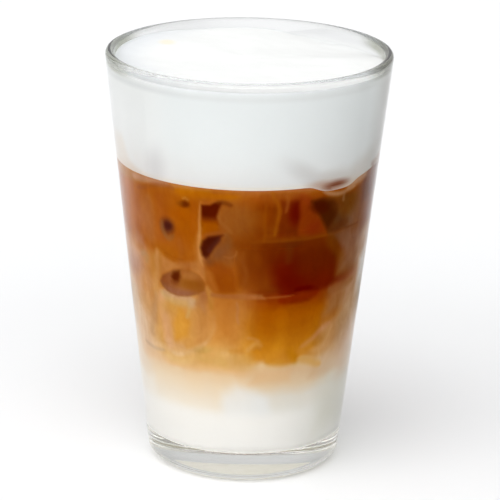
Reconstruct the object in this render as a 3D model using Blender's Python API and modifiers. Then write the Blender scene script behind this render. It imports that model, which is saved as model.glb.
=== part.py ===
"""Iced latte in a clear conical tumbler: milk, milky coffee, coffee and foam in layers, with ice cubes.

Metres, +Z up. The origin is on the table, under the middle of the base. The front is -Y.
"""

import math

import bpy

MM = 0.001

# The tumbler.
HEIGHT = 127.1 * MM
RIM_RADIUS = 43.0 * MM  # outside of the cone at the height of the rim
BASE_RADIUS = 28.9 * MM  # outside of the cone where it would meet the table
WALL = 2.65 * MM
FLOOR = 9.3 * MM  # height of the inner floor, the thickness of the heavy base
FOOT_ROUNDING = 4.7 * MM
FLOOR_ROUNDING = 3.0 * MM
PUNT_RADIUS = 18.0 * MM
PUNT_DEPTH = 2.0 * MM

# Heights of the tops of the layers, at the front.
MILK_LEVEL = 27.5 * MM
MILKY_COFFEE_LEVEL = 60.8 * MM
COFFEE_LEVEL = 94.5 * MM
FOAM_LEVEL = 124.2 * MM

# How each level rises and falls round the wall: bearing and half-width in degrees, height in mm.
# A bearing is 0 at the front, -Y, and grows towards the right, +X.
MILK_SWELLS = (
    (-43, 27, -4.1),
    (3, 14, 4.8),
    (66, 17, 3.0),
    (112, 20, -2.4),
    (158, 18, 3.1),
    (-154, 22, -2.0),
    (-104, 18, 2.2),
)
MILKY_COFFEE_SWELLS = ((34, 9, -1.1), (72, 16, 1.4), (128, 24, -1.2), (-110, 28, 1.0))
COFFEE_SWELLS = ((44, 12, -2.1), (78, 14, 0.8), (150, 20, -1.0), (-120, 20, 0.7))
FOAM_SWELLS = ((134, 32, -2.2), (-122, 26, 0.8))
LEVEL_FADE = 1.5  # power by which a swell dies away towards the middle of the drink

GAP = 0.3 * MM  # between pieces that touch

# Ice cubes: bearing, middle height, width, height and depth in mm, then lean, turn and roll in degrees.
# Each stands with its outer face against the wall, where it has melted to the wall's curve.
ICE_CUBES = {
    "ice_upper_left": (-43, 84.0, 20, 25, 16, 6, 4, 5),
    "ice_upper_front": (15, 87.5, 21, 14, 15, -4, 3, -3),
    "ice_upper_right": (70, 85.5, 18, 20, 14, 8, -6, -14),
    "ice_lower_left": (-35, 53.0, 20, 21, 16, 14, 0, 4),
    "ice_lower_front": (14, 69.5, 23, 15, 15, 0, -3, 2),
    "ice_back_left": (-112, 80.0, 20, 22, 17, 5, 8, -8),
    "ice_back_right": (137, 81.0, 21, 21, 17, -6, -5, 9),
    "ice_back_low": (-168, 62.0, 22, 20, 18, 8, 6, 12),
}
ICE_ROUNDING = 3.0 * MM
ICE_BITE = 1.5 * MM  # how far a cube's outer face would stand into the wall, had it not melted

TURN_STEPS = 64
CORNER_STEPS = 4
LIP_STEPS = 6
PUNT_STEPS = 4
SURFACE_RINGS = 4
SIDE_STEPS = 4
MERGE = 0.00001
SHARP_EDGE = math.radians(40)

SLOPE = (RIM_RADIUS - BASE_RADIUS) / HEIGHT
LEAN = math.atan(SLOPE)  # of the wall, from upright


def outer_radius(z):
    return BASE_RADIUS + SLOPE * z


def inner_radius(z):
    return outer_radius(z) - WALL


def drink_radius(z):
    return inner_radius(z) - GAP


def arc(centre, radius, start, end, steps):
    """Points on an arc of a profile, (r, z), with the angles in radians from the outward direction."""
    angles = [start + (end - start) * i / steps for i in range(steps + 1)]
    return [(centre[0] + radius * math.cos(a), centre[1] + radius * math.sin(a)) for a in angles]


def rounded_corner(wall_radius, floor, rounding):
    """The rounded corner between a sloping wall and a flat floor, from the wall down."""
    height = floor + rounding
    centre = (wall_radius(height) - rounding / math.cos(LEAN), height)
    return arc(centre, rounding, -LEAN, -math.pi / 2, CORNER_STEPS)


def linear(channel):
    """A screen colour's channel, from 0 to 255, as the linear value that a shader takes."""
    value = channel / 255
    return value / 12.92 if value <= 0.04045 else ((value + 0.055) / 1.055) ** 2.4


def material(name, colour, roughness, alpha=1.0, transmission=0.0):
    made = bpy.data.materials.new(name)
    made.use_nodes = True
    shader = made.node_tree.nodes["Principled BSDF"]
    rgba = (*(linear(c) for c in colour), 1.0)
    shader.inputs["Base Color"].default_value = rgba
    shader.inputs["Roughness"].default_value = roughness
    shader.inputs["Metallic"].default_value = 0.0
    shader.inputs["Alpha"].default_value = alpha
    shader.inputs["Transmission Weight"].default_value = transmission
    made.diffuse_color = (*rgba[:3], alpha)
    return made


def new_collection(name):
    collection = bpy.data.collections.new(name)
    bpy.context.scene.collection.children.link(collection)
    return collection


def turned(name, profile, collection, finish=None):
    """A profile of (r, z) points, from the top of the outer side to the bottom, turned about Z."""
    mesh = bpy.data.meshes.new(name)
    points = [(r, 0.0, z) for r, z in profile]
    mesh.from_pydata(points, [(i, i + 1) for i in range(len(points) - 1)], [])
    body = bpy.data.objects.new(name, mesh)
    collection.objects.link(body)
    screw = body.modifiers.new("Turn", "SCREW")
    screw.axis = "Z"
    screw.angle = math.tau
    screw.steps = TURN_STEPS
    screw.render_steps = TURN_STEPS
    screw.use_merge_vertices = True
    screw.merge_threshold = MERGE
    screw.use_smooth_shade = True
    if finish:
        mesh.materials.append(finish)
    return body


def applied(body):
    """The same object with its modifiers made into its mesh, smooth but for its sharp edges."""
    depsgraph = bpy.context.evaluated_depsgraph_get()
    mesh = bpy.data.meshes.new_from_object(body.evaluated_get(depsgraph), depsgraph=depsgraph)
    mesh.name = body.name
    mesh.shade_smooth()
    mesh.set_sharp_from_angle(angle=SHARP_EDGE)
    body.modifiers.clear()
    body.data = mesh
    return body


def swelling(swells, x, y):
    """How far a level stands above its front height at this place."""
    bearing = math.degrees(math.atan2(x, -y))
    shift = 0.0
    for middle, half_width, height in swells:
        away = (bearing - middle + 180) % 360 - 180
        shift += height * MM * math.exp(-((away / half_width) ** 4))
    return shift


def make_glass(collection):
    """The heavy-based glass: inner floor, inner wall, round lip, outer wall, foot and punt."""
    inner_corner = rounded_corner(inner_radius, FLOOR, FLOOR_ROUNDING)[::-1]
    lip_height = HEIGHT - WALL / 2
    lip_centre = (outer_radius(lip_height) - WALL / 2, lip_height)
    lip = arc(lip_centre, WALL / 2, math.pi - LEAN, -LEAN, LIP_STEPS)
    foot = rounded_corner(outer_radius, 0.0, FOOT_ROUNDING)
    punt = []
    for i in range(PUNT_STEPS + 1):
        reach = math.cos(math.pi / 2 * i / PUNT_STEPS)
        punt.append((PUNT_RADIUS * reach, PUNT_DEPTH * (1 - reach**2)))
    profile = [(0.0, FLOOR), *inner_corner, *lip, *foot, *punt]
    finish = material("clear_glass", (225, 229, 222), 0.03, alpha=0.35, transmission=1.0)
    return applied(turned("glass", profile, collection, finish))


def make_layer(name, bottom, top, bottom_swells, top_swells, finish, collection, rounding=0.0):
    """One layer of the drink, a turned slab whose faces follow the levels round the wall."""
    edge = drink_radius(top)
    surface = [(edge * i / SURFACE_RINGS, top) for i in range(SURFACE_RINGS)]
    if rounding:
        corner = rounded_corner(drink_radius, bottom, rounding)
    else:
        corner = [(drink_radius(bottom), bottom)]
    side_bottom = corner[0][1]
    side = []
    for i in range(SIDE_STEPS):
        z = top + (side_bottom - top) * i / SIDE_STEPS
        side.append((drink_radius(z), z))
    inner_edge = corner[-1][0]
    underside = [(inner_edge * i / SURFACE_RINGS, bottom) for i in range(SURFACE_RINGS - 1, -1, -1)]
    layer = applied(turned(name, [*surface, *side, *corner, *underside], collection, finish))
    for vertex in layer.data.vertices:
        x, y, z = vertex.co
        radius = math.hypot(x, y)
        share = (z - bottom) / (top - bottom)
        shift = share * swelling(top_swells, x, y) + (1 - share) * swelling(bottom_swells, x, y)
        fade = min(1.0, radius / drink_radius(z)) ** LEVEL_FADE
        vertex.co.z = z + fade * shift
        if radius > MERGE and abs(radius - drink_radius(z)) < MERGE:
            vertex.co.xy *= drink_radius(vertex.co.z) / radius
    return layer


def make_drink(collection):
    """The four layers, from the floor of the glass up."""
    white = material("milk", (238, 239, 231), 0.3)
    blend = material("milky_coffee", (180, 112, 45), 0.25)
    brown = material("coffee", (134, 62, 6), 0.2)
    froth = material("foam", (240, 243, 242), 0.6)
    bottom = FLOOR + GAP
    still = ()
    return [
        make_layer("milk", bottom, MILK_LEVEL, still, MILK_SWELLS, white, collection,
                   rounding=FLOOR_ROUNDING - GAP),
        make_layer("milky_coffee", MILK_LEVEL + GAP, MILKY_COFFEE_LEVEL, MILK_SWELLS,
                   MILKY_COFFEE_SWELLS, blend, collection),
        make_layer("coffee", MILKY_COFFEE_LEVEL + GAP, COFFEE_LEVEL, MILKY_COFFEE_SWELLS,
                   COFFEE_SWELLS, brown, collection),
        make_layer("foam", COFFEE_LEVEL + GAP, FOAM_LEVEL, COFFEE_SWELLS, FOAM_SWELLS, froth,
                   collection),
    ]


def rounded_block(name, size, rounding, place, turn, collection):
    """A box of this size with rounded edges, at its place and turn."""
    bpy.ops.mesh.primitive_cube_add(size=1.0)
    block = bpy.context.active_object
    block.name = name
    block.data.name = name
    for other in list(block.users_collection):
        other.objects.unlink(block)
    collection.objects.link(block)
    for vertex in block.data.vertices:
        for axis in range(3):
            vertex.co[axis] *= size[axis]
    block.location = place
    block.rotation_euler = turn
    bevel = block.modifiers.new("Round", "BEVEL")
    bevel.width = rounding
    bevel.segments = 2
    return block


def boolean(body, other, operation):
    cut = body.modifiers.new(other.name, "BOOLEAN")
    cut.operation = operation
    cut.object = other
    cut.solver = "EXACT"


def make_cutter(body):
    body.hide_render = True
    body.display_type = "WIRE"
    return body


def make_ice(drink, collection, cutters):
    """Ice cubes against the wall, and the pockets that they fill in the drink."""
    top = FOAM_LEVEL - MM
    bore_profile = [(0.0, top), (drink_radius(top), top), (drink_radius(FLOOR), FLOOR), (0.0, FLOOR)]
    bore = make_cutter(turned("inside_of_glass", bore_profile, cutters))
    finish = material("ice", (205, 150, 95), 0.1, alpha=0.6, transmission=0.6)
    cubes = []
    for name, (bearing, height, wide, high, deep, lean, turn, roll) in ICE_CUBES.items():
        angle = math.radians(bearing)
        middle = height * MM
        size = (wide * MM, deep * MM, high * MM)
        out = inner_radius(middle) + ICE_BITE - size[1] / 2
        place = (out * math.sin(angle), -out * math.cos(angle), middle)
        tilt = (math.radians(lean), math.radians(roll), angle + math.radians(turn))
        cube = rounded_block(name, size, ICE_ROUNDING, place, tilt, collection)
        cube.data.materials.append(finish)
        boolean(cube, bore, "INTERSECT")
        grown = tuple(side + 2 * GAP for side in size)
        pocket = rounded_block(name + "_pocket", grown, ICE_ROUNDING + GAP, place, tilt, cutters)
        make_cutter(pocket)
        reach = math.hypot(*grown) / 2
        for layer in drink:
            heights = [vertex.co.z for vertex in layer.data.vertices]
            if min(heights) < middle + reach and max(heights) > middle - reach:
                boolean(layer, pocket, "DIFFERENCE")
        cubes.append(cube)
    return cubes


def main():
    for old in list(bpy.data.objects):
        bpy.data.objects.remove(old)
    collection = new_collection("iced_latte")
    cutters = new_collection("cutters")
    middle = bpy.data.objects.new("iced_latte_origin", None)
    collection.objects.link(middle)
    glass = make_glass(collection)
    drink = make_drink(collection)
    ice = make_ice(drink, collection, cutters)
    for piece in [glass, *drink, *ice]:
        piece.parent = middle


main()
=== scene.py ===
"""The looks of an iced latte in a clear conical tumbler: the glass, the foam, the layers and the ice.

The scene is in metres with +Z up, and the front is -Y. Places on the drink's side are given as a bearing in
degrees, 0 at the front and growing to the right, and a height in millimetres. Colours that are painted on
the drink and the foam are given as on a screen, from 0 to 255.
"""

import math

import bmesh
import bpy
import numpy as np
from mathutils import Matrix, Vector, noise


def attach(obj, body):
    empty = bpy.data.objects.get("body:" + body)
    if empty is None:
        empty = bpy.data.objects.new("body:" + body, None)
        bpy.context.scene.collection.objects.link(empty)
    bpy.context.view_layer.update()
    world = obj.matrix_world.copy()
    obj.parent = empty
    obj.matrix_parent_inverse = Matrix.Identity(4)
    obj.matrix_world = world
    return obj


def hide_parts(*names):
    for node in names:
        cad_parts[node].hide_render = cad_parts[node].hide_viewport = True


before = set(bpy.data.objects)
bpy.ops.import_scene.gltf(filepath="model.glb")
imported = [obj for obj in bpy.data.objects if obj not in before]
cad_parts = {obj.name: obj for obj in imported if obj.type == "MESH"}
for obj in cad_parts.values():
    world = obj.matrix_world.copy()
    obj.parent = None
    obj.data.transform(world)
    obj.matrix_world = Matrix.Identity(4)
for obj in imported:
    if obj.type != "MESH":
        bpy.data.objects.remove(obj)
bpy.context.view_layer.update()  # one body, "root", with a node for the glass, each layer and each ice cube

MM = 0.001

# The tumbler and the levels of the drink in millimetres, as the solids have them. Only the hollow under the
# base is wider and shallower here.
HEIGHT = 127.1
RIM_RADIUS = 43.0  # outside of the cone at the height of the rim
BASE_RADIUS = 28.9  # outside of the cone where it would meet the table
WALL = 2.65
FLOOR = 9.3  # height of the inner floor
FOOT_ROUNDING = 4.7
FLOOR_ROUNDING = 3.0
PUNT_RADIUS = 22.5
PUNT_DEPTH = 1.5
MILK_LEVEL = 27.5
MILKY_COFFEE_LEVEL = 60.8
COFFEE_LEVEL = 94.5
FOAM_LEVEL = 124.2

# How the levels rise and fall along the wall: a bearing, a half-width in degrees and a height.
MILK_SWELLS = (
    (-43, 27, -4.1),
    (3, 14, 4.8),
    (66, 17, 3.0),
    (112, 20, -2.4),
    (158, 18, 3.1),
    (-154, 22, -2.0),
    (-104, 18, 2.2),
)
MILKY_COFFEE_SWELLS = ((34, 9, -1.1), (72, 16, 1.4), (128, 24, -1.2), (-110, 28, 1.0))
COFFEE_SWELLS = ((44, 12, -2.1), (78, 14, 0.8), (150, 20, -1.0), (-120, 20, 0.7))
FOAM_SWELLS = ((134, 32, -2.2), (-122, 26, 0.8))
LEVEL_FADE = 1.5  # power by which a swell dies away towards the middle

INTO_WALL = 0.2  # the drink reaches this far into the glass, so that no air shows between them
ICE_PROUD = 0.02  # a cube's face lies this much further out than the drink, and its outline as much less
ICE_FACE_DEPTH = 0.75  # a cube's points this near the wall are in its face
ICE_UNDER_FOAM = 0.4  # but not where they are higher than this far under the foam
FOAM_RELIEF = 0.2  # height of the foam's mounds
FOAM_MOUND = 11.0  # and their width
FOAM_TOP_DEPTH = 3.5  # what is within this of the foam's level is its top
WALL_ARC = 0.628  # millimetres of wall to a degree of bearing, half-way up the drink

# How finely the meshes are cut. Rows, rings, grain and what is merged are in millimetres.
GLASS_SECTORS = 32
GLASS_CUTS = 15  # in each sector
LIP_STEPS = 24
BOWL_STEPS = 12
FOOT_STEPS = 16
PUNT_STEPS = 12
INNER_FLOOR_RINGS = (0.0, 8.0, 16.0)
LAYER_SECTORS = 40
PAINTED_CUTS = 14
PAINTED_ROW = 0.4
MILK_CUTS = 7
MILK_ROW = 0.8
MILK_CORNER_STEPS = 8
LEVEL_RING = 6.0
FOAM_CUTS = 9
FOAM_ROW = 0.7
FOAM_RING = 1.0
ICE_GRAIN = 0.5
ICE_MERGE = 0.01
MERGE = 0.001  # points nearer than this become one
SAME = 1e-7  # lengths in metres that differ by less are equal
SHARP_EDGE = math.radians(50)

SLOPE = (RIM_RADIUS - BASE_RADIUS) / HEIGHT
LEAN = math.atan(SLOPE)  # of the wall, from upright

# The camera, fitted to the rim, the base and the level lines of the photograph, in metres and degrees. The
# lens and the sensor are in millimetres.
CAMERA_PLACE = (0.0, -0.830, 0.3285)
CAMERA_PITCH = -17.64
CAMERA_ROLL = 1.02
CAMERA_YAW = -0.08
LENS = 206.75
SENSOR = 36.0
CLIP_START = 0.01


def towards(bearing, height):
    """The direction at a bearing and a height above the horizon, both in degrees."""
    across, up = math.radians(bearing), math.radians(height)
    return (math.sin(across) * math.cos(up), -math.cos(across) * math.cos(up), math.sin(up))


# The studio, in metres. A light has an aim, the cosine at which it fades out, and a strength.
FRONT_LIGHT = (towards(-21, 23), 0.2, 2.35)
TOP_LIGHT = (towards(-90, 85), 0.6, 0.3)
BACK_LIGHT = (towards(180, 5), 0.6, 0.15)
ROOM_STRENGTH = 0.5
LIGHT_BOUNCES = 32
GLOSSY_BOUNCES = 16
FLOOR_SIZE = (8, 8)
FLOOR_COLOUR = (0.812, 0.817, 0.825, 1.0)
# A painted glow, an emission, on the floor under the glass, and the radii in metres over which it fades
# out.
FOOT_GLOW = (0.17, 0.155, 0.12, 1.0)
FOOT_GLOW_EDGE = (0.0245, 0.0262)
DARK_CARD_MIDDLE = (0.0, -0.15, 0.0005)
DARK_CARD_SIZE = (0.80, 1.20)
DARK_CARD_FADE = (0.0, 0.22)  # from black to clear, going back
DARK_CARD_SHIFT = 0.045  # it fades this much further back at the right
DARK_CARD_SHIFT_EDGE = (0.0, 0.1)  # the shift comes in between these places, going right
DARK_CARD_HOLE_MIDDLE = (0.0, 0.04, 0.0)
DARK_CARD_HOLE = (0.085, 0.125)  # clear under the glass and behind it, black beyond
BLACK = (0.0, 0.0, 0.0, 1.0)

CLEAR_GLASS = (0.955, 0.962, 0.945, 1.0)
# The pure front of the lip is painted light; the grey and olive on the rim are painted shade.
PURE_LIT_GLASS = (1.0, 1.0, 1.0, 1.0)
GREY_SHADE_GLASS = (0.84, 0.845, 0.845, 1.0)
OLIVE_SHADE_GLASS = (0.36, 0.37, 0.30, 1.0)

# Where the rim's painted light and shade come in, in millimetres: up from the table, back from the axis,
# apart from the middle to either side, or out from the axis.
GREY_UP = (121, 124)
GREY_BACK = (-5, 15)
OLIVE_SIDE_UP = (123.0, 124.2)
OLIVE_SIDE_APART = (33, 40)
OLIVE_EDGE_UP = (125.4, 126.6)
OLIVE_EDGE_OUT = (41.2, 42.2)
OLIVE_EDGE_BACK = (-20, 10)
OLIVE_EDGE_APART = (4, 34)
PURE_UP = (123.5, 124.5)
PURE_BACK = (-20, -32)

# Wisps in the drink: a scale, a stretch upwards, and what they multiply its colour by where dark and pale.
WISPS = (
    (60.0, 0.5, (0.95, 0.92, 0.88, 1.0), (1.04, 1.07, 1.12, 1.0)),
    (170.0, 0.4, (0.955, 0.93, 0.90, 1.0), (1.045, 1.085, 1.14, 1.0)),
    (420.0, 0.7, (0.98, 0.96, 0.94, 1.0), (1.02, 1.04, 1.07, 1.0)),
)
WISP_EDGES = (0.34, 0.66)
WISPS_UP = (33, 43)  # heights over which they come in
DRINK_BASE = (0.5, 0.3, 0.1, 1.0)
MILK_BASE = (0.98, 0.97, 0.93, 1.0)
# A painted glow, an emission, on the milk's underside.
MILK_GLOW = (1.0, 0.97, 0.88, 1.0)
MILK_GLOW_STRENGTH = 0.27
MILK_GLOW_UP = (9.2, 10.6)  # heights over which it goes out
FOAM_BASE = (0.9, 0.9, 0.9, 1.0)
FROTH_SCALES = (1800.0, 420.0)
FROTH_STRENGTH = 0.15
FROTH_DEPTH = 0.3

# The drink's swirls: their width, and how far they carry the runs of colour round and up.
SWIRL = 14.0
SWAY_DEGREES = 2.6
SWAY_UP = 1.5
SWIRL_SEED = 1  # Blender draws the swirls anew in each run without one

# Colours by height, at the left and at the right.
LEFT_RUN = (
    (19, (254, 252, 247)), (26, (249, 237, 219)), (31, (248, 229, 201)), (35, (246, 219, 182)),
    (37, (242, 200, 142)), (40, (232, 182, 108)), (46, (226, 168, 88)), (52, (222, 160, 80)),
    (58, (214, 146, 68)), (61, (204, 130, 54)), (64, (196, 118, 40)), (70, (190, 108, 30)),
    (80, (185, 99, 22)), (90, (183, 98, 18)), (93.5, (196, 118, 34)),
)
RIGHT_RUN = (
    (22, (244, 243, 238)), (28, (241, 236, 226)), (32, (240, 218, 186)), (36, (237, 206, 166)),
    (38.7, (237, 203, 152)), (40.6, (222, 152, 52)), (44, (213, 138, 26)), (50, (192, 110, 8)),
    (56, (184, 96, 0)), (58.5, (170, 76, 0)), (60.5, (154, 56, 2)), (62.2, (124, 22, 0)),
    (66, (122, 31, 0)), (72, (122, 40, 2)), (78, (128, 51, 2)), (79, (142, 64, 4)),
    (89, (140, 60, 2)), (93, (178, 88, 18)),
)
FOAM_SIDE = (247, 250, 251)
# The foam's top is painted greyer than its side, a painted shade against the stronger light from above.
FOAM_TOP = (229, 230, 229)

# The cubes that the photograph doesn't show: a bearing and height, a width and height, and a colour.
BACK_CUBES = (
    (-112, 80, 20, 22, (186, 100, 14)),
    (137, 81, 21, 21, (176, 90, 14)),
    (-168, 62, 22, 20, (214, 150, 76)),
)
BACK_PLUMES = ((84, 66, 6), (118, 72, -7), (154, 58, 6), (-142, 70, -6), (-92, 60, 7))  # bearing, top, sway
BACK_PLUME_FOOT = 36


def outer_radius(z):
    return BASE_RADIUS + SLOPE * z


def inner_radius(z):
    return outer_radius(z) - WALL


def drink_radius(z):
    return inner_radius(z) + INTO_WALL


def half_turn(bearing):
    """The same bearing, between -180 and 180 degrees."""
    return (bearing + 180) % 360 - 180


def swelling(bearing, swells):
    """How far a level stands above its plain height at some bearings."""
    rise = np.zeros(len(bearing))
    for at, half, height in swells:
        rise = rise + height * np.exp(-(half_turn(bearing - at) / half) ** 4)
    return rise


def arc(centre, radius, start, end, steps):
    angles = [start + (end - start) * i / steps for i in range(steps + 1)]
    return [(centre[0] + radius * math.cos(a), centre[1] + radius * math.sin(a)) for a in angles]


def rounded_corner(wall_radius, floor, rounding, steps):
    """From the wall down to a floor, with the point on the axis side last."""
    height = floor + rounding
    centre = (wall_radius(height) - rounding / math.cos(LEAN), height)
    return arc(centre, rounding, -LEAN, -math.pi / 2, steps)


def evenly(start, end, step):
    count = max(1, round(abs(end - start) / step))
    return [start + (end - start) * i / count for i in range(count + 1)]


def spun(profile, sectors, cuts):
    """A closed body in metres, from (r, z) points in millimetres that run from axis to axis.

    It is spun in a few sectors, whose arcs are then cut and pushed out to the round.
    """
    bm = bmesh.new()
    ring = [bm.verts.new((r * MM, 0.0, z * MM)) for r, z in profile]
    edges = [bm.edges.new(pair) for pair in zip(ring, ring[1:])]
    bmesh.ops.spin(bm, geom=ring + edges, cent=(0, 0, 0), axis=(0, 0, 1), dvec=(0, 0, 0),
                   angle=math.tau, steps=sectors, use_merge=True)
    bmesh.ops.remove_doubles(bm, verts=bm.verts, dist=MERGE * MM)
    arcs = [e for e in bm.edges if abs(e.verts[0].co.z - e.verts[1].co.z) < SAME
            and abs(e.verts[0].co.xy.length - e.verts[1].co.xy.length) < SAME]
    bmesh.ops.subdivide_edges(bm, edges=arcs, cuts=cuts)
    sector = math.tau / sectors
    for vert in bm.verts:
        off_middle = math.atan2(vert.co.y, vert.co.x) % sector - sector / 2
        vert.co.xy *= math.cos(off_middle) / math.cos(sector / 2)
    bmesh.ops.recalc_face_normals(bm, faces=bm.faces)
    return bm


class Value:
    """A shader socket that takes part in Python expressions: each operator adds its Math node."""

    def __init__(self, nodes, socket):
        self.nodes = nodes
        self.socket = socket

    def __add__(self, other):
        return self.nodes.maths("ADD", self, other)

    def __mul__(self, other):
        return self.nodes.maths("MULTIPLY", self, other)

    def __sub__(self, other):
        return self.nodes.maths("SUBTRACT", self, other)

    def __rsub__(self, other):
        return self.nodes.maths("SUBTRACT", other, self)

    __radd__ = __add__
    __rmul__ = __mul__


class Nodes:
    """A node tree. Its sockets are given by place or by name."""

    def __init__(self, tree):
        self.tree = tree

    def add(self, kind, settings=None, sockets=None, output=0):
        node = self.tree.nodes.new(kind)
        for key, value in (settings or {}).items():
            setattr(node, key, value)
        for key, value in (sockets or {}).items():
            if isinstance(value, Value):
                self.tree.links.new(value.socket, node.inputs[key])
            else:
                node.inputs[key].default_value = value
        return Value(self, node.outputs[output])

    def maths(self, operation, *values):
        """A Math node on one or two values."""
        return self.add("ShaderNodeMath", {"operation": operation}, dict(enumerate(values)))

    def vector(self, operation, *vectors, output="Vector"):
        return self.add("ShaderNodeVectorMath", {"operation": operation}, dict(enumerate(vectors)), output)

    def place(self):
        """Object coordinates."""
        return self.add("ShaderNodeTexCoord", output="Object")

    def part(self, vector, axis):
        return self.add("ShaderNodeSeparateXYZ", None, {0: vector}, axis)

    def eased(self, value, start, end, low, high):
        """Goes smoothly from low to high while the value goes from start to end."""
        sockets = {"Value": value, "From Min": start, "From Max": end, "To Min": low, "To Max": high}
        return self.add("ShaderNodeMapRange", {"interpolation_type": "SMOOTHSTEP"}, sockets)

    def over(self, value, span, low=0.0, high=1.0):
        """Goes smoothly from low to high over a span given in millimetres."""
        return self.eased(value, span[0] * MM, span[1] * MM, low, high)

    def mottle(self, scale, detail, stretch=(1.0, 1.0, 1.0), distortion=0.0):
        """Noise on Object coordinates, with the three axes stretched."""
        place = self.vector("MULTIPLY", self.place(), stretch)
        sockets = {"Vector": place, "Scale": scale, "Detail": detail, "Distortion": distortion}
        return self.add("ShaderNodeTexNoise", None, sockets)

    def tinted(self, factor, one, other):
        """Two colours mixed."""
        return self.add("ShaderNodeMix", {"data_type": "RGBA"}, {0: factor, 6: one, 7: other}, 2)

    def painted(self):
        """The colours that are stored on the mesh."""
        return self.add("ShaderNodeVertexColor", {"layer_name": "look"})

    def feed(self, name, value, node="Principled BSDF"):
        self.tree.links.new(value.socket, self.tree.nodes[node].inputs[name])


def finish(name, base, roughness, **sockets):
    """A Principled material, and its nodes."""
    made = bpy.data.materials.new(name)
    made.use_nodes = True
    shader = made.node_tree.nodes["Principled BSDF"]
    for key, value in {"Base_Color": base, "Roughness": roughness, **sockets}.items():
        shader.inputs[key.replace("_", " ")].default_value = value
    return made, Nodes(made.node_tree)


def glass_finish():
    """Clear, purest at the lip's front, a little grey at its back, and olive at its sides and edge.

    The pure front is painted light; the grey and the olive are painted shade.
    """
    glass, nodes = finish("clear_glass", CLEAR_GLASS, 0.0, Transmission_Weight=1.0, IOR=1.5)
    place = nodes.place()
    across, back, up = (nodes.part(place, axis) for axis in range(3))
    apart = nodes.maths("ABSOLUTE", across)
    out = nodes.vector("LENGTH", nodes.vector("MULTIPLY", place, (1.0, 1.0, 0.0)), output="Value")
    # Painted shade: a little grey at the back of the rim, and olive at its sides and along its edge.
    behind = nodes.over(up, GREY_UP) * nodes.over(back, GREY_BACK)
    side_shade = nodes.over(up, OLIVE_SIDE_UP) * nodes.over(apart, OLIVE_SIDE_APART)
    edge_shade = nodes.over(up, OLIVE_EDGE_UP) * nodes.over(out, OLIVE_EDGE_OUT, 1.0, 0.0)
    edge_shade *= nodes.over(back, OLIVE_EDGE_BACK, 1.0, 0.2)
    edge_shade *= nodes.over(apart, OLIVE_EDGE_APART, 0.1, 1.0)
    # Painted light: the lip's front is left pure white, so that it shows brighter.
    before = nodes.over(up, PURE_UP) * nodes.over(back, PURE_BACK)
    plain = nodes.tinted(before, nodes.tinted(behind, CLEAR_GLASS, GREY_SHADE_GLASS), PURE_LIT_GLASS)
    tint = nodes.tinted(nodes.maths("MAXIMUM", side_shade, edge_shade), plain, OLIVE_SHADE_GLASS)
    nodes.feed("Base Color", tint)
    return glass


def drink_finish():
    """The painted colours, a little clouded and streaked. It has no gloss, because glass covers it."""
    drink, nodes = finish("layered_drink", DRINK_BASE, 0.6, Specular_IOR_Level=0.0)
    look = nodes.painted()
    for scale, rising, dark, pale in WISPS:
        wisp = nodes.eased(nodes.mottle(scale, 2.0, (1.0, 1.0, rising), 0.8), *WISP_EDGES, 0.0, 1.0)
        look = nodes.vector("MULTIPLY", look, nodes.tinted(wisp, dark, pale))
    risen = nodes.over(nodes.part(nodes.place(), "Z"), WISPS_UP)
    nodes.feed("Base Color", nodes.tinted(risen, nodes.painted(), look))
    return drink


def milk_finish():
    """White milk. Its underside has a painted glow, an emission for the light that comes through milk from
    its sides.
    """
    sockets = {"Specular_IOR_Level": 0.0, "Emission_Strength": MILK_GLOW_STRENGTH}
    milk, nodes = finish("milk", MILK_BASE, 0.6, **sockets)
    nodes.feed("Base Color", nodes.painted())
    underside = nodes.over(nodes.part(nodes.place(), "Z"), MILK_GLOW_UP, 1.0, 0.0)
    nodes.feed("Emission Color", nodes.tinted(underside, BLACK, MILK_GLOW))
    return milk


def foam_finish():
    """Matt froth: fine bubbles over soft mounds."""
    foam, nodes = finish("milk_foam", FOAM_BASE, 0.75, Specular_IOR_Level=0.2)
    nodes.feed("Base Color", nodes.painted())
    bubbles, mounds = (nodes.mottle(scale, 2.0) * 0.5 for scale in FROTH_SCALES)
    sockets = {"Strength": FROTH_STRENGTH, "Distance": FROTH_DEPTH * MM, "Height": bubbles + mounds}
    nodes.feed("Normal", nodes.add("ShaderNodeBump", None, sockets))
    return foam


def ease(value, start, end):
    """0 before start, 1 after end and smooth between."""
    share = np.clip((value - start) / (end - start), 0.0, 1.0)
    return share * share * (3 - 2 * share)


def curve_through(places, steps=8):
    """A smooth line through places, by Catmull and Rom."""
    points = np.array([places[0], *places, places[-1]], float)
    share = np.linspace(0, 1, steps, endpoint=False)[:, None]
    line = []
    for a, b, c, d in zip(points, points[1:], points[2:], points[3:]):
        line.append(b + share * (c - a) / 2 + share**2 * (a - 2.5 * b + 2 * c - d / 2)
                    + share**3 * ((d - a) / 2 + 1.5 * (b - c)))
    return np.vstack([*line, points[-1:]])


def off_line(along, up, start, end):
    """How far points are from a straight line, and at which share of it they are nearest to it."""
    run = end - start
    a, b = along - start[0], up - start[1]
    share = np.clip((a * run[0] + b * run[1]) / max(run @ run, 1e-9), 0, 1)
    return np.hypot(a - share * run[0], b - share * run[1]), share


def filled(near, values):
    """A mask with values where near, and 0 elsewhere."""
    mask = np.zeros(len(near))
    mask[near] = values
    return mask


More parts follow.
